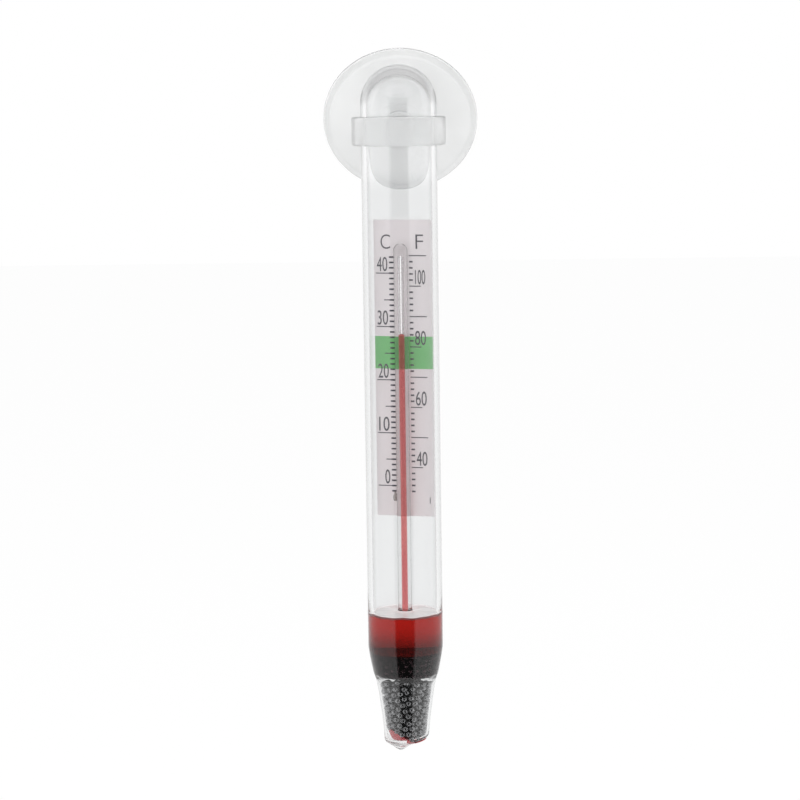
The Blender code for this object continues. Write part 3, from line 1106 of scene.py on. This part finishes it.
@dataclass(frozen=True)
class Mark:
    """A kind of printed line: where it starts and ends across, and how thick it is."""

    start: float
    end: float
    thickness: float


@dataclass(frozen=True)
class Numeral:
    """A printed word: its text, its edges, the height of its foot, and how bold it is."""

    text: str
    left: float
    right: float
    foot: float
    weight: float = 0.0


@dataclass(frozen=True)
class ScaleSide:
    """One side of the printed scale.

    Args:
        unit: which unit it reads.
        zero_z: the height of its zero.
        pitch: the height of one degree.
        first: the lowest mark.
        last: the highest mark.
        step: degrees between marks.
        short: the mark at each step.
        middle: the mark at each multiple of middle_every.
        long: the mark at each multiple of long_every from long_from.
        middle_every: degrees between middle marks.
        long_every: degrees between long marks.
        long_from: a reading with a long mark.
        figures: the numerals' readings, each with its left edge.
        figure_right: the right edge of the numerals.
        letter: the unit letter's edges.
    """

    unit: Unit
    zero_z: float
    pitch: float
    first: int
    last: int
    step: int
    short: Mark
    middle: Mark
    long: Mark
    middle_every: int
    long_every: int
    long_from: int
    figures: tuple[tuple[int, float], ...]
    figure_right: float
    letter: tuple[float, float]

    def height(self, degrees: float) -> float:
        """The height of a reading above the pip."""
        return self.zero_z + self.pitch * degrees

    def marks(self, degrees: int) -> tuple[Mark, ...]:
        """The lines printed at a reading.

        Args:
            degrees: the reading.

        Returns:
            One or two lines.
        """
        if (degrees - self.long_from) % self.long_every == 0:
            return self._joined(self.long)
        if degrees % self.middle_every == 0:
            return self._joined(self.middle)
        return (self.short,)

    def _joined(self, mark: Mark) -> tuple[Mark, ...]:
        """A thin line, with the short thick one on it where the side is Celsius."""
        return (mark, self.short) if self.unit is Unit.CELSIUS else (mark,)


CELSIUS = ScaleSide(
    Unit.CELSIUS, 42.96, 0.8533, -1, 43, 1,
    Mark(-1.5, -2.26, 0.26), Mark(-1.5, -3.16, 0.15), Mark(-1.5, -4.6, 0.15), 5, 10, 0,
    ((0, -3.4), (10, -4.38), (20, -4.38), (30, -4.38), (40, -4.38)), -2.55, (-3.66, -2.02),
)
FAHRENHEIT = ScaleSide(
    Unit.FAHRENHEIT, 26.6, 0.4845, 32, 110, 2,
    Mark(1.1, 1.68, 0.26), Mark(1.1, 2.96, 0.15), Mark(1.1, 3.9, 0.15), 20, 20, 50,
    ((40, 1.94), (60, 1.94), (80, 1.94), (100, 2.06)), 3.72, (2.2, 3.45),
)


@dataclass
class Scale:
    """The film behind the stem, its print and its glue. The film is turned about the tube's axis."""

    glass: GlassBody
    turn: float = -14.0
    thickness: float = 0.12
    low_z: float = 38.1
    high_z: float = 85.6
    front: float = 1.22
    half_width: float = 4.96
    ink: float = 0.012
    figure_gap: float = 0.3
    figure_height: float = 2.28
    green: tuple[float, float] = (61.84, 67.03)
    letter_foot: float = 80.96
    letter_weight: float = -0.012
    end_mark: Mark = Mark(4.04, 4.16, 1.0)  # the short upright line at the lower right
    end_mark_z: float = 40.7
    glue_swell: float = 0.14
    glue_grow: float = 1.1

    @property
    def matrix(self) -> Matrix:
        """The matrix from the film's turned frame to the CAD frame."""
        return self.glass.tube.matrix() @ Matrix.Rotation(math.radians(self.turn), 4, "Z")

    def add_plate(
        self, shape: bmesh.types.BMesh, xs: tuple[float, float], zs: tuple[float, float],
        ys: tuple[float, float], parts: int = 1,
    ) -> None:
        """Add a thin upright plate.

        Args:
            shape: the mesh that receives it.
            xs: its left and right edges.
            zs: its lowest and highest point.
            ys: its front and back, behind the film's front.
            parts: how many facets it has across.
        """
        size = ((xs[1] - xs[0]) / parts, ys[1] - ys[0], zs[1] - zs[0], 1)
        for i in range(parts):
            x = xs[0] + (i + 0.5) * size[0]
            place = Matrix.Translation((x, self.front + sum(ys) / 2, sum(zs) / 2))
            bmesh.ops.create_cube(shape, size=1, matrix=place @ Matrix.Diagonal(size))

    def build_film(self) -> None:
        """Build the film and its green band."""
        edge = (-self.half_width, self.half_width)
        sheet = bmesh.new()
        self.add_plate(sheet, edge, (self.low_z, self.high_z), (0.0, self.thickness))
        film = mesh_object("scale_sheet", sheet, self.matrix, sharp=30)
        dress(film, FILM.material(), Slot.FILM, Body.TUBE, "scale_film")
        tint = bmesh.new()
        self.add_plate(tint, edge, self.green, (-self.ink, -self.ink / 3))
        band = mesh_object("green_band", tint, self.matrix, sharp=30)
        dress(band, BAND.material(), Slot.FILM, Body.TUBE)

    def add_mark(self, shape: bmesh.types.BMesh, mark: Mark, z: float) -> None:
        """Add one printed line.

        Args:
            shape: the print.
            mark: the kind of line.
            z: its height.
        """
        xs = (min(mark.start, mark.end), max(mark.start, mark.end))
        zs = (z - mark.thickness / 2, z + mark.thickness / 2)
        self.add_plate(shape, xs, zs, (-3 * self.ink, -2 * self.ink))

    def add_text(self, shape: bmesh.types.BMesh, numeral: Numeral) -> None:
        """Add one printed word of the built-in plain letters, fitted to its place.

        Args:
            shape: the print.
            numeral: the word.
        """
        curve = bpy.data.curves.new("print_text", "FONT")
        curve.body = numeral.text
        curve.extrude = 0.5
        curve.offset = numeral.weight
        letters = bpy.data.objects.new("print_text", curve)
        bpy.context.scene.collection.objects.link(letters)
        bpy.context.view_layer.update()
        graph = bpy.context.evaluated_depsgraph_get()
        mesh = bpy.data.meshes.new_from_object(letters.evaluated_get(graph))
        corners = [vertex.co for vertex in mesh.vertices]
        low = Vector(min(corner[i] for corner in corners) for i in range(3))
        high = Vector(max(corner[i] for corner in corners) for i in range(3))
        wide = (numeral.right - numeral.left) / (high.x - low.x)
        tall = self.figure_height / (high.y - low.y)
        squeeze = Matrix.Diagonal((wide, tall, self.ink, 1)) @ Matrix.Translation((-low.x, -low.y, 0))
        place = Matrix.Translation((numeral.left, self.front - 2.5 * self.ink, numeral.foot))
        mesh.transform(place @ Matrix.Rotation(math.pi / 2, 4, "X") @ squeeze)
        shape.from_mesh(mesh)
        bpy.data.objects.remove(letters, do_unlink=True)
        bpy.data.meshes.remove(mesh)

    def numerals(self) -> list[Numeral]:
        """All printed words, with the unit letters.

        Returns:
            The words.
        """
        words = []
        for side in (CELSIUS, FAHRENHEIT):
            words.append(Numeral(side.unit.value, *side.letter, self.letter_foot, self.letter_weight))
            for degrees, left in side.figures:
                foot = side.height(degrees) + self.figure_gap
                words.append(Numeral(str(degrees), left, side.figure_right, foot))
        return words

    def build_print(self) -> None:
        """Print the marks, the numerals and the two unit letters."""
        shape = bmesh.new()
        for side in (CELSIUS, FAHRENHEIT):
            for degrees in range(side.first, side.last + 1, side.step):
                for mark in side.marks(degrees):
                    self.add_mark(shape, mark, side.height(degrees))
        self.add_mark(shape, self.end_mark, self.end_mark_z)
        for numeral in self.numerals():
            self.add_text(shape, numeral)
        bmesh.ops.remove_doubles(shape, verts=shape.verts, dist=1e-5)
        piece = mesh_object("scale_print", shape, self.matrix, sharp=30)
        dress(piece, INK.material(), Slot.FILM, Body.TUBE)

    def build_glue(self) -> None:
        """Build the dot of glue between the film and the stem."""
        low, high = (Vector(corner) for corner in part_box("film_glue"))
        half = (high - low) / 2
        shape = bmesh.new()
        bmesh.ops.create_icosphere(shape, subdivisions=4, radius=1.0)
        for vertex in shape.verts:
            x, y, z = vertex.co
            vertex.co *= 1 + self.glue_swell * math.sin(4 * x + 2 * z) * math.cos(3 * y)
        place = Matrix.Translation((low + high) / 2) @ Matrix.Diagonal((*(half * self.glue_grow), 1))
        piece = mesh_object("glue_dot", shape, place)
        dress(piece, GLUE.material(), Slot.GLUE, Body.TUBE, "film_glue")

    def build(self) -> None:
        """Build the whole scale."""
        self.build_film()
        self.build_print()
        self.build_glue()


# ---------------------------------------------------------------- holder


@dataclass
class Holder:
    """The soft moulding: cup, neck and collar in one piece."""

    tube: TubeFrame
    tilt: float = 24.0
    cup_r: float = 12.5
    height: float = 4.0
    lip: float = 0.9
    hollow: float = 1.7
    brim: float = 1.05
    brim_thickness: float = 0.6
    step: float = 0.3
    crown: float = 2.2
    crown_gap: float = 0.6
    boss_r: float = 3.1
    boss_corner: float = 0.5
    flare: tuple[float, float] = (0.9, 0.45)  # its height at the boss, and how fast it fades
    edge_corner: float = 0.15
    step_corner: float = 0.12
    foot: tuple[float, float] = (0.08, 0.1)  # width and height of the bevel under the rim
    flex: float = 0.9
    neck_size: tuple[float, float] = (5.0, 2.8)
    neck_root: float = 0.9
    neck_sink: float = 0.6
    neck_swell: tuple[float, float] = (0.35, 0.3)  # across and up
    neck_fade: tuple[float, float] = (0.8, 0.7)  # at the boss and at the collar
    neck_square: tuple[float, float] = (0.55, 0.7)  # powers below 1 make the section squarer
    neck_facets: int = 48
    collar_z: float = 99.6
    collar_height: float = 4.5
    collar_wall: float = 1.32
    collar_gap: float = 0.08
    collar_corner: float = 0.3

    @property
    def wall_axis(self) -> Vector:
        """The direction from the cup into the pane."""
        a = math.radians(self.tilt)
        return Vector((0, math.cos(a), math.sin(a)))

    def disc(self) -> bmesh.types.BMesh:
        """The cup with its brim, crown and boss, turned round local Z.

        Returns:
            The shape in millimetres, with its rim plane at Z = 0.
        """
        edge = self.cup_r - self.brim
        lip_r = self.cup_r - self.lip
        base = self.brim_thickness + self.step
        boss, bevel, inset = self.boss_corner, self.edge_corner, self.step_corner
        profile = [(0.0, self.height), (self.boss_r - boss, self.height)]
        profile += arc(self.boss_r - boss, self.height - boss, boss, 60, 0, 4)
        for r in evenly(self.boss_r, edge - bevel, 24):
            crown = self.crown * (1 - (r / edge) ** 2)
            flare = self.flare[0] * math.exp(-(r - self.boss_r) / self.flare[1])
            profile.append((r, min(self.height - self.crown_gap, base + crown + flare)))
        profile += arc(edge - bevel, base - bevel, bevel, 60, 0, 3)
        profile += arc(edge + inset, self.brim_thickness + inset, inset, 180, 270, 3)
        r = self.brim_thickness / 2
        profile += arc(self.cup_r - r, r, r, 90, 0, 6)
        profile += [(self.cup_r, self.foot[1]), (self.cup_r - self.foot[0], 0.0)]
        profile += [(x, self.hollow * (1 - (x / lip_r) ** 2)) for x in evenly(lip_r, 0, 24)]
        shape = bmesh.new()
        lathe(shape, profile, 160)
        return shape

    def collar(self) -> bmesh.types.BMesh:
        """The ring round the glass, with a small bead along its lower edge.

        Returns:
            The shape in millimetres in the tube's frame.
        """
        inner = self.tube.radius + self.collar_gap
        outer = inner + self.collar_wall
        low = self.collar_z - self.collar_height / 2
        high = self.collar_z + self.collar_height / 2
        bend = self.collar_corner
        profile = arc(outer - bend, high - bend, bend, 90, 0, 5)
        profile += arc(outer - bend, low + bend, bend, 0, -90, 5)
        profile += arc(inner + bend, low + bend, bend, -90, -180, 5)
        profile += arc(inner + bend, high - bend, bend, 180, 90, 5)
        profile.append(profile[0])
        shape = bmesh.new()
        lathe(shape, profile, 128)
        bmesh.ops.remove_doubles(shape, verts=shape.verts, dist=1e-5)
        return shape

    def neck(self, reach: float) -> bmesh.types.BMesh:
        """The bar from boss to collar, swelling at both ends.

        Args:
            reach: how far it runs forward of the bend.

        Returns:
            The shape in millimetres, along -Y from the bend.
        """
        root, facets, shape = self.neck_root, self.neck_facets, bmesh.new()
        rings = []
        for y in evenly(-root, reach, 18):
            at_boss = math.exp(-max(0.0, y + root) / self.neck_fade[0])
            at_collar = math.exp(-max(0.0, reach - 1.0 - y) / self.neck_fade[1])
            half_x, half_z = (
                size / 2 + swell * (at_boss + at_collar)
                for size, swell in zip(self.neck_size, self.neck_swell)
            )
            ring = []
            for j in range(facets):
                a = 2 * math.pi * j / facets
                c, s = math.cos(a), math.sin(a)
                x = half_x * math.copysign(abs(c) ** self.neck_square[0], c)
                z = half_z * math.copysign(abs(s) ** self.neck_square[1], s)
                ring.append(shape.verts.new((x, -y, z)))
            rings.append(ring)
        for ring, after in zip(rings, rings[1:]):
            for j in range(facets):
                k = (j + 1) % facets
                shape.faces.new((ring[j], ring[k], after[k], after[j]))
        shape.faces.new(rings[0])
        shape.faces.new(rings[-1])
        bmesh.ops.recalc_face_normals(shape, faces=shape.faces)
        return shape

    def build(self) -> None:
        """Join the three shapes into one moulding."""
        bend = -self.height * MM * self.wall_axis
        turn = Matrix.Rotation(math.pi / 2 + math.radians(self.tilt), 4, "X")
        piece = mesh_object("holder_moulding", self.disc(), turn @ Matrix.Scale(MM, 4))
        collar = mesh_object("collar_form", self.collar(), self.tube.matrix())
        reach = (bend.y - self.tube.foot.y) / MM - self.tube.radius - self.collar_gap - self.neck_sink
        place = Matrix.Translation(bend) @ Matrix.Scale(MM, 4)
        neck = mesh_object("neck_form", self.neck(reach), place)
        for tool in (neck, collar):
            modifier = piece.modifiers.new(tool.name, "BOOLEAN")
            modifier.operation = "UNION"
            modifier.solver = "EXACT"
            modifier.object = tool
        apply_modifiers(piece, sharp=38)
        for tool in (neck, collar):
            bpy.data.objects.remove(tool, do_unlink=True)
        dress(piece, PVC.material(), Slot.PVC, None, "suction_disc", "neck", "collar_ring")
        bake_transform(piece)


# ---------------------------------------------------------------- studio


@dataclass
class Studio:
    """The floor, the lights, the dark card behind the camera, and the camera."""

    tube: TubeFrame
    distance: float = 420.0
    elevation: float = 7.0
    azimuth: float = 1.3
    roll: float = 0.79
    sensor_mm: float = 36.0
    focal_px: float = 2637.0
    frame_px: int = 800
    aim: tuple[float, float, float] = (-0.37, 0.0, 56.94)
    floor_drop: float = 130.0
    floor_half: float = 3000.0
    floor_color: Color = (0.9, 0.9, 0.9)
    floor_glow: tuple[float, float] = (0.85, 1.03)
    soft_light: float = 0.85
    backdrop: tuple[tuple[float, float], ...] = (
        (0.03, 1.0), (0.12, 0.97), (0.25, 0.75), (0.45, 0.5), (0.7, 0.6)
    )
    backdrop_side: float = 0.5
    card_radius: float = 165.0
    card_half_angle: float = 34.0
    card_fade: float = 0.25
    card_span: tuple[float, float] = (-125.0, 150.0)
    card_depths: tuple[float, float] = (2.0, 1.5)
    card_light: float = 0.09
    lamp_angle: float = 62.0
    lamp_rise: float = 0.25
    lamp_distance: float = 900.0
    lamp_size: tuple[float, float] = (800.0, 1100.0)
    lamp_watts: float = 5.0
    bounces: int = 28
    mirror_bounces: int = 10
    clear_bounces: int = 24

    def build_world(self) -> None:
        """White all round, softer on what scatters it, with a backdrop whose tone varies with height.

        The backdrop is the part of the sky behind the object. Only bent rays see its tones.
        """
        world = bpy.data.worlds.new("studio")
        bpy.context.scene.world = world
        nodes = new_tree(world)
        rise = nodes.add("ShaderNodeValToRGB", nodes.axis("Generated", "Z"))
        stops = rise.color_ramp.elements
        for height, tone in self.backdrop[2:]:
            stops.new(height)
        for stop, (height, tone) in zip(stops, self.backdrop):
            stop.position, stop.color = height, (tone, tone, tone, 1)
        behind = nodes.math("GREATER_THAN", nodes.axis("Generated", "Y"), self.backdrop_side)
        bent = nodes.math("SUBTRACT", behind, nodes.outputs_of("LightPath")["Is Camera Ray"])
        tone = nodes.blend(bent, (1, 1, 1, 1), rise.outputs["Color"])
        light = nodes.add("ShaderNodeMapRange", Value=seen_rays(nodes), To_Min=self.soft_light)
        sky = nodes.add("ShaderNodeBackground", tone, light.outputs["Result"])
        nodes.finish(sky.outputs["Background"], "World")

    def build_floor(self) -> None:
        """A wide pale floor below the hanging thermometer."""
        shape = bmesh.new()
        bmesh.ops.create_grid(shape, x_segments=8, y_segments=8, size=self.floor_half)
        place = Matrix.Translation(self.tube.at(0, 0, -self.floor_drop)) @ Matrix.Scale(MM, 4)
        floor = mesh_object("floor", shape, place)
        material = bpy.data.materials.new("pale_floor")
        nodes = new_tree(material)
        share, strength = self.floor_glow
        matt = nodes.add("ShaderNodeBsdfDiffuse", (*self.floor_color, 1)).outputs["BSDF"]
        glow = nodes.add("ShaderNodeEmission", (1, 1, 1, 1), strength).outputs["Emission"]
        nodes.finish(nodes.surface(nodes.math("MULTIPLY", seen_rays(nodes), share), matt, glow))
        floor.data.materials.append(material)

    def build_card(self) -> None:
        """The dark gap between the studio's light boxes, which only reflections show."""
        shape = bmesh.new()
        turns = [math.radians(a) for a in evenly(-self.card_half_angle, self.card_half_angle, 32)]
        low, high = (
            [
                shape.verts.new((self.card_radius * math.sin(a), -self.card_radius * math.cos(a), z))
                for a in turns
            ]
            for z in self.card_span
        )
        for corners in zip(low, low[1:], high[1:], high):
            shape.faces.new(corners)
        card = mesh_object("dark_gap", shape, self.tube.matrix())
        material = bpy.data.materials.new("dark_gap")
        nodes = new_tree(material)
        mirrored = nodes.math("COMPARE", nodes.outputs_of("LightPath")["Glossy Depth"], *self.card_depths)
        edge = self.card_radius * math.sin(turns[-1]) * MM
        across = nodes.math("ABSOLUTE", nodes.axis("Object", "X"))
        fade = nodes.math("SUBTRACT", 1.0, nodes.ramp(across, edge * (1 - self.card_fade), edge))
        clear = nodes.outputs_of("BsdfTransparent")["BSDF"]
        dark = nodes.add("ShaderNodeEmission", (1, 1, 1, 1), self.card_light).outputs["Emission"]
        nodes.finish(nodes.surface(nodes.math("MULTIPLY", mirrored, fade), clear, dark))
        card.data.materials.append(material)
        card.visible_camera = card.visible_diffuse = card.visible_shadow = False

    def build_lamps(self) -> None:
        """Two broad light boxes, left and right of the camera."""
        target = self.tube.at(0, 0, self.aim[2])
        for side in (-1, 1):
            light = bpy.data.lights.new(f"light_box_{side}", "AREA")
            light.shape = "RECTANGLE"
            light.size, light.size_y = (s * MM for s in self.lamp_size)
            light.energy = self.lamp_watts
            a = math.radians(side * self.lamp_angle)
            away = Vector((math.sin(a), -math.cos(a), self.lamp_rise)) * self.lamp_distance * MM
            lamp = bpy.data.objects.new(light.name, light)
            lamp.location = target + away
            lamp.rotation_euler = away.to_track_quat("Z", "Y").to_euler()
            lamp.visible_glossy = False
            lamp.visible_transmission = False
            bpy.context.scene.collection.objects.link(lamp)

    def build_camera(self) -> None:
        """The camera at the photograph's viewing angle."""
        data = bpy.data.cameras.new("camera")
        data.sensor_width = self.sensor_mm
        data.lens = self.focal_px * data.sensor_width / self.frame_px
        data.clip_start = 0.01
        camera = bpy.data.objects.new("camera", data)
        e, a = math.radians(self.elevation), math.radians(self.azimuth)
        away = Vector((math.sin(a) * math.cos(e), -math.cos(a) * math.cos(e), math.sin(e)))
        look = away.to_track_quat("Z", "Y").to_matrix().to_4x4()
        spot = Matrix.Translation(self.tube.at(*self.aim) + away * self.distance * MM)
        camera.matrix_world = spot @ look @ Matrix.Rotation(math.radians(-self.roll), 4, "Z")
        bpy.context.scene.collection.objects.link(camera)
        bpy.context.scene.camera = camera

    def build(self) -> None:
        """Build the studio."""
        self.build_world()
        self.build_floor()
        self.build_card()
        self.build_lamps()
        self.build_camera()
        scene = bpy.context.scene
        scene.view_settings.view_transform = "Standard"
        scene.cycles.max_bounces = scene.cycles.transmission_bounces = self.bounces
        scene.cycles.glossy_bounces = self.mirror_bounces
        scene.cycles.transparent_max_bounces = self.clear_bounces


def main() -> None:
    """Build every piece in order."""
    logging.basicConfig(level=logging.INFO, format="%(name)s: %(message)s")
    tube = TubeFrame.from_nodes()
    Studio(tube).build()
    glass = GlassBody(tube)
    glass.build()
    Spirit(glass).build()
    Ballast(glass).build()
    Scale(glass).build()
    Holder(tube).build()


if __name__ == "__main__":
    main()
